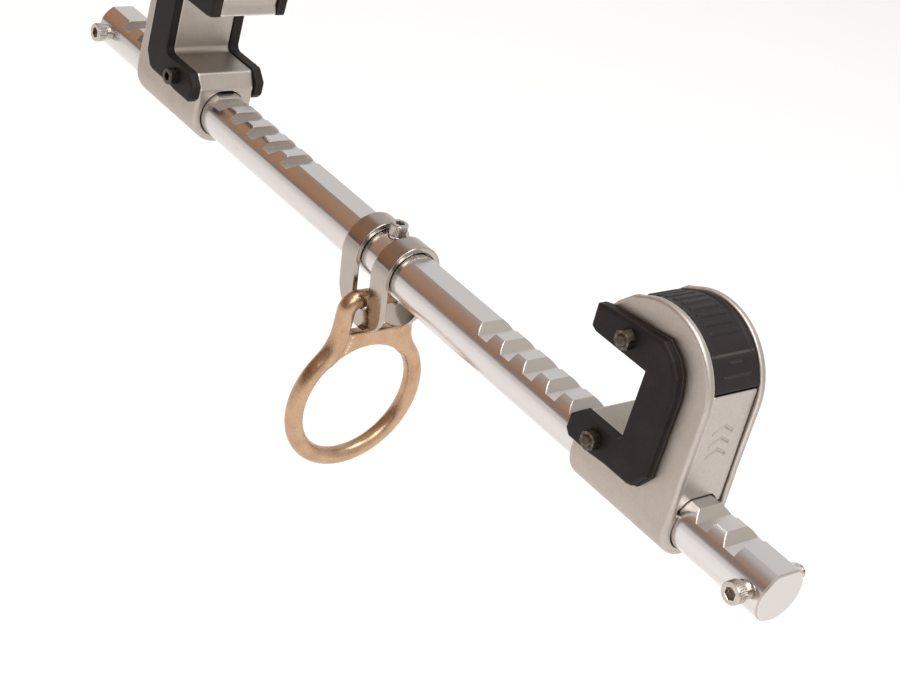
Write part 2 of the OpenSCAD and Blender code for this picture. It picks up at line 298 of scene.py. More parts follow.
def jaw_body(u, y, z):
    """A C-shaped casting, hollow behind the lever and the cover, with a bore for the bar."""
    leg = outline(u, z, [BACK_C, (0, MOUTH_TOP), (-24, 24), (-24, LIP_Z - PLATE_PROUD), (-28.6, 14),
                         (-28.6, -40), (32.3, -40), (32.3, 4), (31.2, 22),
                         (BACK_C[0] + BACK_R, BACK_C[1])])
    silhouette = np.minimum(back_and_nose(u, z), leg)
    section = np.where(z < 0, np.hypot(y, z), np.abs(y)) - HALF_W
    body = both(silhouette, section, np.clip(2.4 - z / 20, 1.5, 2.4))
    body = cut(body, mouth(u, z, PLATE_PROUD, LIP_Z - PLATE_PROUD, MOUTH_TOP + PLATE_PROUD, 3.5), 0.6)
    rho = back_distance(u, z)
    chamber = np.maximum(COVER_R - COVER_T - 0.2 - rho, wedge(u, z, COVER_ANGLES))
    chamber = np.minimum(chamber, np.maximum(rho - (COVER_R - COVER_T - 0.1),
                                             np.maximum(WEB_BACK - u, 30 - z)))
    chamber = np.minimum(chamber, np.maximum(np.maximum(WEB_BACK - u, SLOT_Z - z),
                                             z - LEVER_TOP[1] - 1))
    chamber = np.minimum(chamber, np.maximum(np.maximum(PIVOT[0] - BOSS_R - 0.5 - u, SLOT_Z - z),
                                             z - PIVOT[1] - BOSS_R - 0.6))
    body = cut(body, np.maximum(np.abs(y) - SLOT_HALF, chamber), 0.5)
    return cut(body, flat_topped(y, z, BAR_R + 0.3, FLAT_Z + 1.3), 0.9)


def wear_plate(u, y, z):
    """y runs outwards from the jaw's cheek."""
    edge = outline(u, z, [(-24, LIP_Z), (-29.6, 16.8), (-29.6, 10), (-27, 7.2), (9.5, 7.2),
                          (12.8, 8.2), (18.2, 16), (18.2, 54), (16, 63), (11.5, 68.8), (4, 73.4),
                          (-31, 68.6), (-34.2, 67.6), (-33.8, MOUTH_TOP + 0.8),
                          (-32.2, MOUTH_TOP), (-8, 40)])
    gap = either(both(u, MOUTH_TOP - 8 - z), mouth(u, z, 0, LIP_Z, MOUTH_TOP, 3.5))
    gap = np.maximum(gap, np.abs(z - (LIP_Z + MOUTH_TOP) / 2) - (MOUTH_TOP - LIP_Z) / 2)
    slab = np.abs(y - PLATE_T / 2) - PLATE_T / 2
    back = np.clip((u + 14) / 10, 0, 1) * 0.9
    foot = both(edge, np.abs(y - 1) - 1, 0.3)
    chamfer = (edge + back + (y - PLATE_T) + 1.1) / math.sqrt(2)
    plate = np.minimum(foot, both(np.maximum(edge + back, chamfer), slab, 0.35))
    return cut(plate, gap, 0.35)


def top_cover(u, y, z):
    """A curved cover with a sunk panel of cross ribs, and two ridges near its lower end."""
    rho = back_distance(u, z)
    turn = np.degrees(np.arctan2(z - BACK_C[1], u - BACK_C[0]))
    along = np.radians(turn) * COVER_R
    skin = back_and_nose(u, z) + BACK_R - COVER_R
    panel = both(np.abs(y) - PANEL_HALF, np.abs(along - 52.5) - 28.5, 1.5)
    skin = skin + 0.45 * np.clip(0.5 - panel / 0.4, 0, 1)
    ribs = both(np.abs(np.mod(along, RIB_PITCH) - RIB_PITCH / 2) - 1.0,
                both(np.abs(y) - RIB_HALF, np.abs(along - 54.0) - 20.6), 0.5)
    skin = skin - 0.5 * np.clip(0.5 - ribs / 0.4, 0, 1)
    for middle, half in THUMB_RIDGES:
        ridge = both(np.abs(along - middle) - 0.5, np.abs(y) - half, 0.4)
        skin = skin - 0.55 * np.clip(0.5 - ridge / 0.5, 0, 1)
    shell = both(skin, COVER_R - COVER_T - rho, 0.3)
    (ua, za), (ub, zb) = COVER_FOOT
    reach = math.hypot(ub - ua, zb - za)
    foot = ((z - za) * (ua - ub) + (u - ua) * (zb - za)) / reach
    foot = np.where(u > BACK_C[0], foot, -COVER_T)
    ends = np.maximum(wedge(u, z, (COVER_ANGLES[0], COVER_ANGLES[1] - 0.2)), foot + 0.1)
    return both(both(shell, np.abs(y) - SLOT_HALF + 0.25, 0.7), ends, 0.5)


def release_lever(u, y, z):
    """A thumb plate with sunk chevrons, and two arms down to the hinge pin."""
    plate = outline(u, z, [LEVER_TOP, (LEVER_TOP[0] - LEVER_T, LEVER_TOP[1] - 0.6),
                           (LEVER_FOOT[0] - LEVER_T, LEVER_LOW), (LEVER_FOOT[0] + 0.1, LEVER_LOW),
                           LEVER_FOOT])
    face = both(np.abs(y) - LEVER_HALF, z - LEVER_TOP[1], 1.6)
    lean = (LEVER_FOOT[0] - LEVER_TOP[0]) / (LEVER_TOP[1] - LEVER_FOOT[1])
    outer = u - LEVER_FOOT[0] + (z - LEVER_FOOT[1]) * lean
    marks = np.full(np.broadcast(y, z).shape, 9.0)
    for peak in CHEVRON_PEAKS:
        stroke = np.abs(z - peak + 0.55 * np.abs(y)) / 1.14 - 0.5
        marks = np.minimum(marks, both(stroke, np.abs(y) - 6.0, 0.3))
    plate = both(cut(plate, both(marks, -outer - 0.5)), face, 0.45)
    arm = outline(u, z, [(PIVOT[0], PIVOT[1] + BOSS_R), (20, 30), (LEVER_FOOT[0] - LEVER_T - 0.8, 38),
                         (LEVER_FOOT[0] - LEVER_T + 0.3, 38),
                         (LEVER_FOOT[0] - LEVER_T + 0.3, FLAT_Z + 2.1), (PIVOT[0], PIVOT[1] - BOSS_R)])
    arm = np.minimum(arm, np.hypot(u - PIVOT[0], z - PIVOT[1]) - BOSS_R)
    middle = (ARM_IN + LEVER_HALF) / 2
    arms = both(arm, np.abs(np.abs(y) - middle) - (LEVER_HALF - ARM_IN) / 2, 0.3)
    lever = either(plate, arms, 0.4)
    lever = cut(lever, np.hypot(u - PIVOT[0], z - PIVOT[1]) - 2.08)
    lever = cut(lever, flat_topped(y, z, BAR_R + 0.5, FLAT_Z + 0.5), 0.3)
    return cut(lever, np.maximum(np.maximum(u - PAWL_OUT, np.abs(y) - 6.3), z - 27.1))


def stirrup(x, y, z):
    """A strip bent over the bar with two leaning legs, and a long window along its middle."""
    lean = math.radians(LEG_LEAN)
    middle = BAND_IN + BAND_T / 2
    ay = np.abs(y)
    on_leg = z * math.cos(lean) < -ay * math.sin(lean)
    strip = np.where(on_leg, ay * math.cos(lean) - z * math.sin(lean), np.hypot(y, z)) - middle
    loop_r = (WINDOW_W + BAND_W) / 2
    loop = np.where(z < WINDOW_Z, np.hypot(x, z - WINDOW_Z), np.abs(x)) - loop_r
    return both(np.abs(strip) - BAND_T / 2, np.abs(loop) - BAND_W / 2, 0.55)


def arc(centre, radius, start, end, count):
    turns = np.radians(np.linspace(start, end, count))
    return [(centre[0] + radius * math.cos(t), centre[1] + radius * math.sin(t)) for t in turns]


def ring_line():
    """Half of the D-ring's centre line in Y and Z, from the middle of the crossbar down."""
    neck_r = ((RING_R * math.cos(math.radians(NECK_TURN)) - SIDE_Y)
              / (1 - math.cos(math.radians(NECK_TURN))))
    neck_z = (RING_R + neck_r) * math.sin(math.radians(NECK_TURN)) + RING_Z
    return ([(0, CROSS_Z)]
            + arc((SIDE_Y - CORNER_R, CROSS_Z - CORNER_R), CORNER_R, 90, 0, 10)
            + arc((SIDE_Y + neck_r, neck_z), neck_r, 180, 180 + NECK_TURN, 14)
            + arc((0, RING_Z), RING_R, NECK_TURN - 3, -90, 60))


def d_ring(x, y, z):
    """A ring of round wire with a narrower neck and crossbar, and a web between them."""
    ay = np.abs(y)
    wire = np.hypot(distance_to_path(ay, z, ring_line()), x) - RING_WIRE / 2
    sheet = outline(ay, z, [(-1, SLOT_LOW), (SIDE_Y, SLOT_LOW), (23, -46.5), (29, -56), (-1, -56)])
    sheet = both(sheet, RING_R - RING_WIRE / 2 - np.hypot(y, z - RING_Z), 1.0)
    web = both(sheet, np.abs(x) - WEB_T / 2, 1.2)
    blend = np.clip(0.5 + 0.5 * (web - wire) / 2.2, 0, 1)
    return web * (1 - blend) + wire * blend - 2.2 * blend * (1 - blend)


# ---------------------------------------------------------------- turned parts

SIDES = 144
TURNS = np.radians(np.arange(SIDES) * 360 / SIDES)


def lathe(rings, closed=False):
    """Points and faces through rings of (height, radius); each may vary around the ring."""
    points, faces = [], []
    for height, radius in rings:
        radius, height = radius + 0 * TURNS, height + 0 * TURNS
        points += list(zip(radius * np.cos(TURNS), radius * np.sin(TURNS), height))
    pairs = list(zip(range(len(rings)), range(1, len(rings))))
    if closed:
        pairs.append((len(rings) - 1, 0))
    for a, b in pairs:
        for i in range(SIDES):
            j = (i + 1) % SIDES
            faces.append((a * SIDES + i, a * SIDES + j, b * SIDES + j, b * SIDES + i))
    if not closed:
        last = (len(rings) - 1) * SIDES
        faces.append(tuple(range(SIDES))[::-1])
        faces.append(tuple(range(last, last + SIDES)))
    return points, faces


def hexagon(flats):
    """Radius of a hexagon around the turns, from its width across the flats."""
    return flats / 2 / np.cos(np.mod(TURNS + math.pi / 6, math.pi / 3) - math.pi / 6)


def screw(shank_r, shank_l, head_r, head_l, key_r, thread_l, pitch=0.9):
    """A socket-head screw: its head's underside is at height 0 and its shank runs down."""
    flute = head_r - 0.16 * (1 - np.abs(np.mod(np.arange(SIDES), 4) - 2) / 2)
    socket = hexagon(key_r * math.sqrt(3))
    rings = [(-shank_l, 0.4 * shank_r), (-shank_l, shank_r - 0.8)]
    steps = int(thread_l / pitch * 6)
    for i in range(steps + 1):
        height = -shank_l + 0.5 + i * thread_l / steps
        wave = np.abs(np.mod(height / pitch - TURNS / (2 * math.pi), 1) - 0.5) * 2
        rings.append((height, shank_r - 0.02 - 0.5 * wave * min(1, (steps - i) / 3)))
    rings += [(-0.3, shank_r), (0, shank_r), (0, head_r - 0.35), (0.3, flute),
              (head_l - 0.75, flute), (head_l - 0.55, head_r - 0.02), (head_l - 0.12, head_r - 0.3),
              (head_l, head_r - 0.7), (head_l, socket * 1.06), (head_l - 0.25, socket),
              (head_l * 0.42, socket), (head_l * 0.36, socket * 0.4)]
    return lathe(rings)


def nut(flats, height, hole_r):
    """A hexagon nut with chamfered corners and a countersunk hole."""
    corner = hexagon(flats)
    chamfer_r = flats * 0.505
    drop = np.maximum(corner - chamfer_r, 0) * math.tan(math.radians(30))
    top = np.minimum(corner, chamfer_r)
    return lathe([(0, hole_r + 0.35), (0, top), (drop, corner), (height - drop, corner),
                  (height, top), (height, hole_r + 0.45), (height - 0.45, hole_r),
                  (0.4, hole_r)], closed=True)


def washer(radius, height, hole_r, edge=0.25):
    return lathe([(0, hole_r), (0, radius - edge), (edge, radius), (height - edge, radius),
                  (height, radius - edge), (height, hole_r)], closed=True)


def several(shape, places):
    """One mesh of the same shape at several places."""
    points, faces = shape
    points = np.asarray(points, float)
    out_points, out_faces = [], []
    for where in places:
        matrix = np.array(where)
        start = len(points) * len(out_points)
        out_points.append(points @ matrix[:3, :3].T + matrix[:3, 3])
        out_faces += [tuple(start + i for i in f) for f in faces]
    return np.concatenate(out_points), out_faces


def at(x, y, z, facing="+Z"):
    """A place for a turned part, whose own axis is turned from +Z to the one given."""
    turn = {"+Z": 0, "+Y": -90, "-Y": 90}[facing]
    return Matrix.Translation((x, y, z)) @ Matrix.Rotation(math.radians(turn), 4, "X")


def spring(wire_r, coil_r, start, end, turns, around=24, sides=10):
    """A helix of round wire along X, centred at the spring's height."""
    count = turns * around
    points, faces = [], []
    for i in range(count + 1):
        t, x = 2 * math.pi * i / around, start + (end - start) * i / count
        for k in range(sides):
            a = 2 * math.pi * k / sides
            r = coil_r + wire_r * math.cos(a)
            points.append((x + wire_r * math.sin(a), r * math.cos(t), SPRING_Z + r * math.sin(t)))
    for i in range(count):
        for k in range(sides):
            a, b = i * sides + k, i * sides + (k + 1) % sides
            faces.append((a, a + sides, b + sides, b))
    faces.append(tuple(range(sides)))
    faces.append(tuple(range(count * sides, (count + 1) * sides))[::-1])
    return points, faces


# ---------------------------------------------------------------- the notched bar

def bar_stations():
    """(distance from the middle, height of the top, radius) along one half of the bar."""
    out = [(0, BAR_R, BAR_R), (ROUND_HALF - BEVEL, BAR_R, BAR_R), (ROUND_HALF, BAR_R - BEVEL, BAR_R),
           (ROUND_HALF, FLAT_Z, BAR_R)]
    for i in range(NOTCHES):
        face = FIRST_FACE + i * PITCH
        slope = face - PITCH + TOOTH_LAND
        out.append((slope, FLAT_Z, BAR_R))
        for turn in range(60, 35, -3):
            height = BAR_R * math.sin(math.radians(turn))
            if FLOOR_Z < height < FLAT_Z:
                out.append((slope + SLOPE_RUN * (FLAT_Z - height) / (FLAT_Z - FLOOR_Z), height, BAR_R))
        out += [(slope + SLOPE_RUN, FLOOR_Z, BAR_R), (face, FLOOR_Z, BAR_R),
                (face, FLAT_Z - BEVEL, BAR_R), (face + BEVEL, FLAT_Z, BAR_R)]
    return out + [(BAR_HALF - 0.9, FLAT_Z, BAR_R), (BAR_HALF, FLAT_Z - 0.7, BAR_R - 0.9)]


def merged(points, faces):
    """The same surface with each set of coinciding points made one."""
    whole = [tuple(round(c, 5) for c in p) for p in points]
    first = {p: i for i, p in reversed(list(enumerate(whole)))}
    out = []
    for face in faces:
        ring = list(dict.fromkeys(first[whole[i]] for i in face))
        if len(ring) > 2:
            out.append(ring)
    used = sorted({i for ring in out for i in ring})
    place_of = {old: new for new, old in enumerate(used)}
    return [whole[i] for i in used], [[place_of[i] for i in ring] for ring in out]


def bar_mesh():
    """The bar's sections at its stations, joined along its length."""
    half = bar_stations()
    stations = [(-x, top, r) for x, top, r in half[:0:-1]] + half
    corners = (FLOOR_Z, FLAT_Z, FLAT_Z - BEVEL, BAR_R - BEVEL)
    special = [math.degrees(math.asin(height / BAR_R)) for height in corners]
    right = np.unique(np.round(np.concatenate([np.arange(-90, 91, 3), special]), 6))
    turns = np.radians(np.concatenate([right, 180 - right[-2:0:-1]]))
    n = len(turns)
    points, faces = [], []
    for x, top, r in stations:
        points += [(x, r * math.cos(t), min(r * math.sin(t), top)) for t in turns]
    for s in range(len(stations) - 1):
        for i in range(n):
            a, b = s * n + i, s * n + (i + 1) % n
            faces.append((a, b, b + n, a + n))
    faces.append(tuple(range(n))[::-1])
    faces.append(tuple(range(len(points) - n, len(points))))
    return merged(points, faces)


# ---------------------------------------------------------------- materials

class Finish:
    """A Principled material with named node helpers. Scales are in features per metre."""

    def __init__(self, name, color, metallic, roughness):
        self.material = bpy.data.materials.new(name)
        self.material.use_nodes = True
        self.tree = self.material.node_tree
        self.shader = self.tree.nodes["Principled BSDF"]
        self.shader.inputs["Metallic"].default_value = metallic
        self.color = self.rgb(color)
        self.link(self.color, self.shader.inputs["Base Color"])
        self.roughness = self.number(roughness)
        self.normal = None
        coordinates = self.tree.nodes.new("ShaderNodeTexCoord")
        self.where = coordinates.outputs["Object"]
        self.own_normal = coordinates.outputs["Normal"]

    def link(self, a, b):
        self.tree.links.new(a, b)

    def rgb(self, color):
        node = self.tree.nodes.new("ShaderNodeRGB")
        node.outputs[0].default_value = (*color, 1)
        return node.outputs[0]

    def number(self, value):
        node = self.tree.nodes.new("ShaderNodeValue")
        node.outputs[0].default_value = value
        return node.outputs[0]

    def noise(self, scale, stretch=(1, 1, 1), detail=4, rough=0.55):
        mapping = self.tree.nodes.new("ShaderNodeMapping")
        mapping.inputs["Scale"].default_value = stretch
        self.link(self.where, mapping.inputs["Vector"])
        node = self.tree.nodes.new("ShaderNodeTexNoise")
        node.inputs["Scale"].default_value = scale
        node.inputs["Detail"].default_value = detail
        node.inputs["Roughness"].default_value = rough
        self.link(mapping.outputs[0], node.inputs["Vector"])
        return node.outputs["Fac"]

    def remap(self, value, low, high, to_low=0.0, to_high=1.0):
        node = self.tree.nodes.new("ShaderNodeMapRange")
        for socket, number in zip(("From Min", "From Max", "To Min", "To Max"),
                                  (low, high, to_low, to_high)):
            node.inputs[socket].default_value = number
        self.link(value, node.inputs["Value"])
        return node.outputs[0]

    def tint(self, factor, color):
        """Mixes the colour so far towards another where factor is high."""
        node = self.tree.nodes.new("ShaderNodeMix")
        node.data_type = "RGBA"
        self.link(factor, node.inputs["Factor"])
        self.link(self.color, node.inputs["A"])
        node.inputs["B"].default_value = (*color, 1)
        self.color = node.outputs["Result"]
        self.link(self.color, self.shader.inputs["Base Color"])

    def roughen(self, factor, amount):
        node = self.tree.nodes.new("ShaderNodeMath")
        node.operation = "MULTIPLY_ADD"
        self.link(factor, node.inputs[0])
        node.inputs[1].default_value = amount
        self.link(self.roughness, node.inputs[2])
        self.roughness = node.outputs[0]
        self.link(self.roughness, self.shader.inputs["Roughness"])

    def bump(self, height, distance, strength=1.0):
        node = self.tree.nodes.new("ShaderNodeBump")
        node.inputs["Strength"].default_value = strength
        node.inputs["Distance"].default_value = distance
        self.link(height, node.inputs["Height"])
        if self.normal:
            self.link(self.normal, node.inputs["Normal"])
        self.normal = node.outputs[0]
        self.link(self.normal, self.shader.inputs["Normal"])

    def facing(self, axis, low, high):
        """1 where the surface faces along that axis of the piece."""
        split = self.tree.nodes.new("ShaderNodeSeparateXYZ")
        self.link(self.own_normal, split.inputs[0])
        size = self.tree.nodes.new("ShaderNodeMath")
        size.operation = "ABSOLUTE"
        self.link(split.outputs[axis], size.inputs[0])
        return self.remap(size.outputs[0], low, high)

    def within(self, axis, limit):
        """1 where the piece's own coordinate along the axis is closer to its middle than limit."""
        split = self.tree.nodes.new("ShaderNodeSeparateXYZ")
        self.link(self.where, split.inputs[0])
        size = self.tree.nodes.new("ShaderNodeMath")
        size.operation = "ABSOLUTE"
        self.link(split.outputs[axis], size.inputs[0])
        return self.remap(size.outputs[0], limit, limit - 0.0001)

    def times(self, a, b):
        node = self.tree.nodes.new("ShaderNodeMath")
        node.operation = "MULTIPLY"
        self.link(a, node.inputs[0])
        self.link(b, node.inputs[1])
        return node.outputs[0]

    def edges(self, low, high):
        """1 on convex edges, 0 elsewhere."""
        node = self.tree.nodes.new("ShaderNodeNewGeometry")
        return self.remap(node.outputs["Pointiness"], low, high)


def bar_finish():
    f = Finish("bar_satin", (0.665, 0.64, 0.622), 1.0, 0.17)
    drawn = f.noise(900, (0.03, 1, 1), 6)
    f.roughen(f.remap(drawn, 0.3, 0.7), 0.10)
    f.tint(f.remap(f.noise(60, (0.4, 1, 1), 5), 0.45, 0.75, 0, 0.35), (0.62, 0.59, 0.575))
    f.tint(f.remap(f.noise(500, (1, 1, 1), 2), 0.72, 0.78, 0, 0.5), (0.42, 0.39, 0.37))
    # The milled faces across the bar, inside its end caps: rougher for their milled finish, and tinted
    # darker and warmer as painted shade in the notches.
    milled_and_shaded = f.times(f.facing("X", 0.2, 0.4), f.within("X", (BAR_HALF - 0.2) * MM))
    f.tint(f.remap(milled_and_shaded, 0, 1, 0, 0.8), (0.45, 0.39, 0.335))
    # Painted shade: faces square across the bar, the notches' upright faces and the end caps, darkened a
    # little more.
    f.tint(f.remap(f.facing("X", 0.9, 0.98), 0, 1, 0, 0.3), (0.42, 0.375, 0.34))
    f.roughen(milled_and_shaded, 0.14)
    f.roughen(f.facing("Z", 0.985, 0.998), 0.10)
    f.bump(drawn, 0.000014, 0.5)
    return f.material


def casting_finish():
    f = Finish("cast_aluminium", (0.47, 0.42, 0.372), 1.0, 0.36)
    grain = f.noise(1700, detail=4)
    f.tint(f.remap(f.noise(90, detail=5), 0.4, 0.7, 0, 0.5), (0.40, 0.355, 0.31))
    f.tint(f.remap(grain, 0.55, 0.75, 0, 0.5), (0.31, 0.275, 0.245))
    # Convex edges lightened: partly worn edges, partly a painted highlight along the rims.
    f.tint(f.edges(0.51, 0.56), (0.80, 0.77, 0.74))
    f.roughen(f.remap(grain, 0.3, 0.7), 0.18)
    f.bump(grain, 0.00014, 0.6)
    f.bump(f.noise(420, detail=4), 0.00010, 0.5)
    return f.material


def black_finish(name, base, roughness, grain_size):
    f = Finish(name, base, 0.0, roughness)
    f.shader.inputs["Specular IOR Level"].default_value = 0.22
    grain = f.noise(1 / grain_size, detail=4)
    f.tint(f.remap(f.noise(70, detail=6), 0.45, 0.75, 0, 0.6), tuple(c * 1.8 for c in base))
    f.tint(f.remap(f.noise(1500, detail=2), 0.70, 0.76, 0, 0.5), (0.12, 0.10, 0.09))
    f.tint(f.edges(0.515, 0.58), (0.060, 0.048, 0.044))
    f.roughen(f.remap(grain, 0.3, 0.7), 0.14)
    f.bump(grain, 0.00010, 0.6)
    return f.material


def steel_finish(name, base, dark, roughness, edge, worn=1.0):
    f = Finish(name, base, 1.0, roughness)
    f.tint(f.remap(f.noise(800, detail=4), 0.45, 0.7, 0, 0.7), dark)
    f.tint(f.remap(f.edges(0.53, 0.64), 0, 1, 0, worn), edge)
    f.roughen(f.remap(f.noise(1800, detail=3), 0.3, 0.7), 0.14)
    f.bump(f.noise(3000, detail=3), 0.00002, 0.5)
    return f.material


def stirrup_finish():
    f = Finish("polished_strip", (0.43, 0.385, 0.34), 1.0, 0.09)
    lines = f.noise(2600, (1, 0.06, 0.06), 5)
    f.tint(f.remap(f.noise(130, detail=5), 0.45, 0.75, 0, 0.4), (0.36, 0.315, 0.27))
    f.roughen(f.remap(lines, 0.3, 0.7), 0.10)
    f.bump(lines, 0.00001, 0.5)
    return f.material


def ring_finish():
    f = Finish("bronze_plating", (0.52, 0.352, 0.225), 1.0, 0.21)
    f.tint(f.remap(f.noise(110, detail=6), 0.42, 0.72, 0, 0.75), (0.41, 0.25, 0.145))
    f.tint(f.remap(f.noise(900, detail=3), 0.60, 0.76, 0, 0.55), (0.27, 0.16, 0.09))
    f.tint(f.edges(0.515, 0.57), (0.72, 0.53, 0.38))
    f.roughen(f.remap(f.noise(700, detail=4), 0.3, 0.7), 0.16)
    f.bump(f.noise(260, detail=5), 0.00022, 0.5)
    f.bump(f.noise(1900, detail=3), 0.00004, 0.5)
    return f.material


def floor_finish():
    f = Finish("pale_floor", (0.97, 0.97, 0.97), 0.0, 0.8)
    f.tint(f.remap(f.noise(4, detail=4), 0.4, 0.6, 0, 0.3), (0.95, 0.95, 0.95))
    f.shader.inputs["Emission Color"].default_value = (1, 1, 1, 1)
    f.shader.inputs["Emission Strength"].default_value = 0.1
    f.roughen(f.noise(30), 0.05)
    return f.material


# ---------------------------------------------------------------- pieces

bar_metal = bar_finish()
casting = casting_finish()
plate_black = black_finish("wear_plate_nylon", (0.0135, 0.0090, 0.0080), 0.50, 0.0005)
cover_black = black_finish("cover_plastic", (0.0150, 0.0105, 0.0095), 0.42, 0.0007)
lever_metal = steel_finish("lever_aluminium", (0.50, 0.455, 0.415), (0.43, 0.385, 0.35), 0.30,
                           (0.74, 0.71, 0.68))
bright_steel = steel_finish("bright_steel", (0.52, 0.47, 0.42), (0.30, 0.26, 0.22), 0.18,
                            (0.80, 0.76, 0.71))
dark_steel = steel_finish("black_oxide_steel", (0.085, 0.070, 0.058), (0.035, 0.028, 0.024), 0.30,
                          (0.30, 0.25, 0.19), worn=0.35)
spring_steel = steel_finish("spring_steel", (0.42, 0.39, 0.36), (0.28, 0.25, 0.23), 0.25,
                            (0.6, 0.57, 0.54))
strip_metal = stirrup_finish()
ring_metal = ring_finish()


def make_bar():
    dress(make_piece("bar_rod", *bar_mesh(), place(), sharp=20), bar_metal, "bar", "bar_aluminium", "bar")
    rows = [
        ("centre_socket_screw", screw(2.5, 12, 4.3, 6, 2.4, 6), [at(0, 0, 13.6)], "centre_screw"),
        ("centre_flat_washer", washer(4.4, 1.2, 2.55), [at(0, 0, 12.4)], "centre_washer"),
        ("end_socket_screws", screw(3, 37, 5, 5, 2.9, 8),
         [at(s * END_SCREW_X, -15.2, 0, "-Y") for s in (-1, 1)], "end_screws"),
        ("end_spacer_rings", washer(4.2, 3, 3.05, 0.4),
         [at(s * END_SCREW_X, -12.2, 0, "-Y") for s in (-1, 1)], "end_spacers"),
        ("end_hex_nuts", nut(8.6, 6, 2.75), [at(s * END_SCREW_X, 12.2, 0, "+Y") for s in (-1, 1)],
         "end_nuts"),
    ]
    for name, shape, places, node in rows:
        piece = make_piece(name, *several(shape, places), place(), sharp=28)
        dress(piece, bright_steel, "bar", "bright_steel", node)


def make_hanger():
    points, faces, normals = surface(stirrup, (-18, -17, -41), (18, 17, 17), 0.36)
    piece = make_piece("stirrup_strip", points, faces, place(), normals)
    dress(piece, strip_metal, "stirrup", "stirrup_steel", "stirrup")
    points, faces, normals = surface(d_ring, (-5, -40.5, -119), (5, 40.5, -15), 0.5)
    piece = make_piece("d_ring_forging", points, faces, place(), normals)
    dress(piece, ring_metal, "d_ring", "ring_steel", "d_ring")


def make_jaws():
    body = surface(jaw_body, (-35, -17, -17), (32.5, 17, 84), 0.55)
    plate = surface(wear_plate, (-35, 0, 7), (18.5, PLATE_T, 74), 0.42)
    cover = surface(top_cover, (-32, -13.3, 60), (30.5, 13.3, 83.5), 0.38)
    lever = surface(release_lever, (2.5, -13.1, 7), (30.5, 13.1, 61), 0.40)
    bolt = screw(2.5, 2 * PLATE_Y + NUT_H + 1, 4.25, 5, 2.3, 8, 0.8)
    coil = spring(0.45, 4.0, SPRING_BACK, LEVER_TOP[0] - LEVER_T - 0.25, 6)
    for name, side in (("near", 1), ("far", -1)):
        where = place(side)
        jaw = f"{name}_jaw"
        piece = make_piece(f"{name}_jaw_casting", *body[:2], where, body[2])
        dress(piece, casting, jaw, "cast_aluminium", f"{name}_jaw_body")
        for label, out in (("nut_side", -1), ("head_side", 1)):
            flip = Matrix.Diagonal((1, out, 1, 1))
            onto = where @ Matrix.Translation((0, out * HALF_W, 0)) @ flip
            faces = plate[1] if out > 0 else plate[1][:, ::-1]
            piece = make_piece(f"{name}_{label}_wear_plate", plate[0], faces, onto, plate[2])
            dress(piece, plate_black, jaw, "wear_plate", f"{name}_{label}_plate")
        piece = make_piece(f"{name}_grip_cover", *cover[:2], where, cover[2])
        dress(piece, cover_black, jaw, "cover_plastic", f"{name}_top_cover")
        piece = make_piece(f"{name}_thumb_lever", *lever[:2], where, lever[2])
        dress(piece, lever_metal, f"{name}_lever", "lever_aluminium", f"{name}_release_lever")
        heads = several(bolt, [at(BOLT_X, PLATE_Y, z, "+Y") for z in BOLT_Z])
        dress(make_piece(f"{name}_through_bolts", *heads, where, sharp=28), dark_steel, jaw,
              "dark_steel", f"{name}_plate_bolts")
        nuts = several(nut(8, NUT_H, 2.3), [at(BOLT_X, -PLATE_Y, z, "-Y") for z in BOLT_Z])
        dress(make_piece(f"{name}_hex_nuts", *nuts, where, sharp=28), dark_steel, jaw,
              "dark_steel", f"{name}_plate_nuts")
        piece = make_piece(f"{name}_return_spring", *coil, where)
        dress(piece, spring_steel, jaw, "spring_steel", f"{name}_lever_spring")
        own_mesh(piece)
        for node in ("latch_pawl", "pawl_rivets", "lever_pin"):
            cad_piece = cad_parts[f"{name}_{node}"]
            cad_piece.data.materials.clear()
            cad_piece.data.materials.append(spring_steel)


# ---------------------------------------------------------------- studio

VIEW_AZIMUTH = 44.13       # degrees; 0 looks along +Y
VIEW_ELEVATION = 28.71
VIEW_ROLL = 16.34
VIEW_DISTANCE = 0.8967
VIEW_ASIDE = (0.02807, -0.03707)   # camera's offset along its own right and up
LENS = 75.87
FLOOR_DROP = 0.16          # how far the floor lies below the hanging ring


def make_camera():
    azimuth, elevation, roll = (math.radians(a) for a in (VIEW_AZIMUTH, VIEW_ELEVATION, VIEW_ROLL))
    back = Vector((math.sin(azimuth) * math.cos(elevation), -math.cos(azimuth) * math.cos(elevation),
                   math.sin(elevation)))
    level = Vector((0, 0, 1)).cross(back).normalized()
    upright = back.cross(level)
    right = level * math.cos(roll) + upright * math.sin(roll)
    up = upright * math.cos(roll) - level * math.sin(roll)
    centre = Vector((0, 0, -SEAT_Z * MM))
    spot = centre + back * VIEW_DISTANCE + right * VIEW_ASIDE[0] + up * VIEW_ASIDE[1]
    data = bpy.data.cameras.new("camera")
    data.lens = LENS
    camera = bpy.data.objects.new("camera", data)
    turn = Matrix((right, up, back)).transposed().to_4x4()
    camera.matrix_world = Matrix.Translation(spot) @ turn
    bpy.context.scene.collection.objects.link(camera)
    bpy.context.scene.camera = camera


def make_floor():
    low = cad_box[0][2] - FLOOR_DROP
    mesh = bpy.data.meshes.new("floor")
    half = 6.0
    mesh.from_pydata([(-half, -half, low), (half, -half, low), (half, half, low), (-half, half, low)],
                     [], [(0, 1, 2, 3)])
    mesh.materials.append(floor_finish())
    floor = bpy.data.objects.new("floor", mesh)
    bpy.context.scene.collection.objects.link(floor)


def area_light(name, spot, size, power, color=(1, 1, 1)):
    data = bpy.data.lights.new(name, "AREA")
    data.size = size
    data.energy = power
    data.color = color
    light = bpy.data.objects.new(name, data)
    aim = Vector((0, 0, -SEAT_Z * MM)) - Vector(spot)
    light.matrix_world = (Matrix.Translation(spot) @ aim.to_track_quat("-Z", "Y").to_matrix().to_4x4())
    bpy.context.scene.collection.objects.link(light)


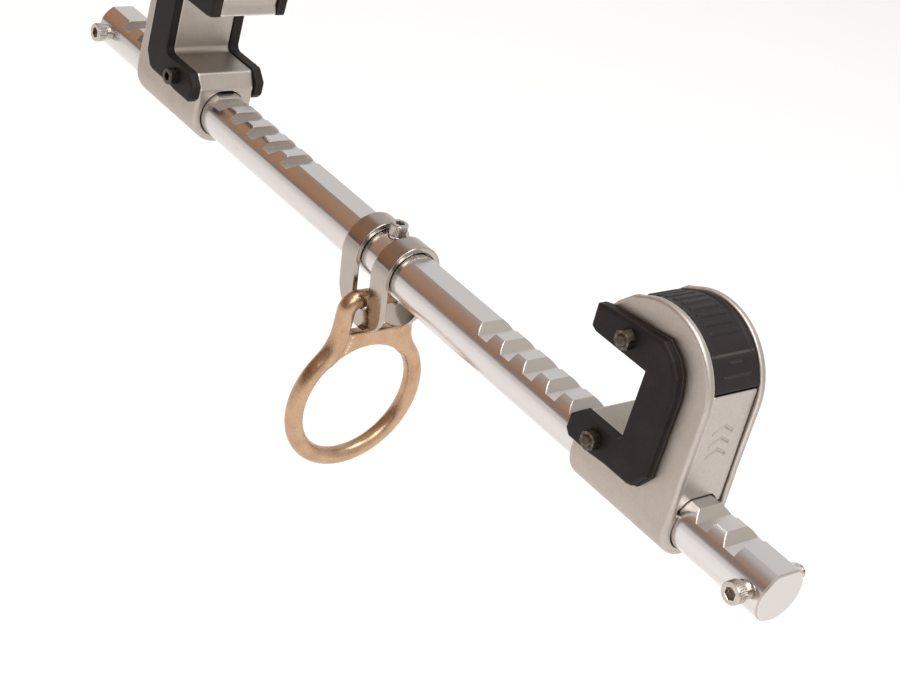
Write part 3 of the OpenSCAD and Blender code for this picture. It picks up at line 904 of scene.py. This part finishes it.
# The room seen from the object: colour against height (0 level, 1 overhead)
FRONT_RIGHT = [(0.0, (1.0, 0.99, 0.98)), (0.04, (0.95, 0.93, 0.92)), (0.09, (0.30, 0.265, 0.26)),
               (0.34, (0.24, 0.205, 0.20)), (0.42, (0.36, 0.225, 0.15)), (0.56, (0.50, 0.32, 0.215)),
               (0.70, (0.42, 0.37, 0.35)), (0.88, (0.68, 0.665, 0.655))]
FRONT_LEFT = [(0.0, (1.0, 0.99, 0.98)), (0.025, (0.90, 0.88, 0.87)), (0.06, (0.13, 0.105, 0.10)),
              (0.12, (0.20, 0.15, 0.13)), (0.20, (0.44, 0.235, 0.135)), (0.50, (0.50, 0.28, 0.165)),
              (0.76, (0.42, 0.27, 0.19)), (0.90, (0.62, 0.61, 0.61))]
BACK_ROOM = [(0.0, (1.0, 0.99, 0.98)), (0.12, (0.86, 0.855, 0.85)), (1.0, (0.72, 0.72, 0.73))]


def room_ramp(tree, height, stops):
    ramp = tree.nodes.new("ShaderNodeValToRGB")
    for position, color in stops[1:-1]:
        ramp.color_ramp.elements.new(position)
    for element, (position, color) in zip(ramp.color_ramp.elements, stops):
        element.position = position
        element.color = (*color, 1)
    tree.links.new(height, ramp.inputs[0])
    return ramp.outputs[0]


def towards(tree, where, direction, low, high):
    """Rises from 0 to 1 as the looked-at direction turns towards the given one."""
    dot = tree.nodes.new("ShaderNodeVectorMath")
    dot.operation = "DOT_PRODUCT"
    dot.inputs[1].default_value = direction
    tree.links.new(where, dot.inputs[0])
    side = tree.nodes.new("ShaderNodeMapRange")
    side.interpolation_type = "SMOOTHSTEP"
    side.inputs["From Min"].default_value = low
    side.inputs["From Max"].default_value = high
    tree.links.new(dot.outputs["Value"], side.inputs["Value"])
    return side.outputs[0]


def blend(tree, factor, a, b):
    mix = tree.nodes.new("ShaderNodeMix")
    mix.data_type = "RGBA"
    tree.links.new(factor, mix.inputs["Factor"])
    tree.links.new(a, mix.inputs["A"])
    tree.links.new(b, mix.inputs["B"])
    return mix.outputs["Result"]


def make_world():
    """A soft room: pale behind the object, warm and darker on the side that faces the bar's front."""
    world = bpy.data.worlds.new("studio")
    bpy.context.scene.world = world
    world.use_nodes = True
    tree = world.node_tree
    where = tree.nodes.new("ShaderNodeTexCoord").outputs["Generated"]
    split = tree.nodes.new("ShaderNodeSeparateXYZ")
    tree.links.new(where, split.inputs[0])
    height = split.outputs["Z"]
    front = towards(tree, where, (-0.3, -0.95, 0), -0.15, 0.2)
    left = towards(tree, where, (-1, 0, 0), 0.42, 0.72)
    front_room = blend(tree, left, room_ramp(tree, height, FRONT_RIGHT),
                       room_ramp(tree, height, FRONT_LEFT))
    room = blend(tree, front, room_ramp(tree, height, BACK_ROOM), front_room)
    tree.links.new(room, tree.nodes["Background"].inputs["Color"])


make_camera()
make_floor()
make_world()
area_light("key_softbox", (0.55, 0.25, 2.2), 1.2, 26)
area_light("side_softbox", (1.5, -1.0, 1.9), 1.2, 18)
bpy.context.scene.view_settings.view_transform = "Standard"
make_bar()
make_hanger()
make_jaws()
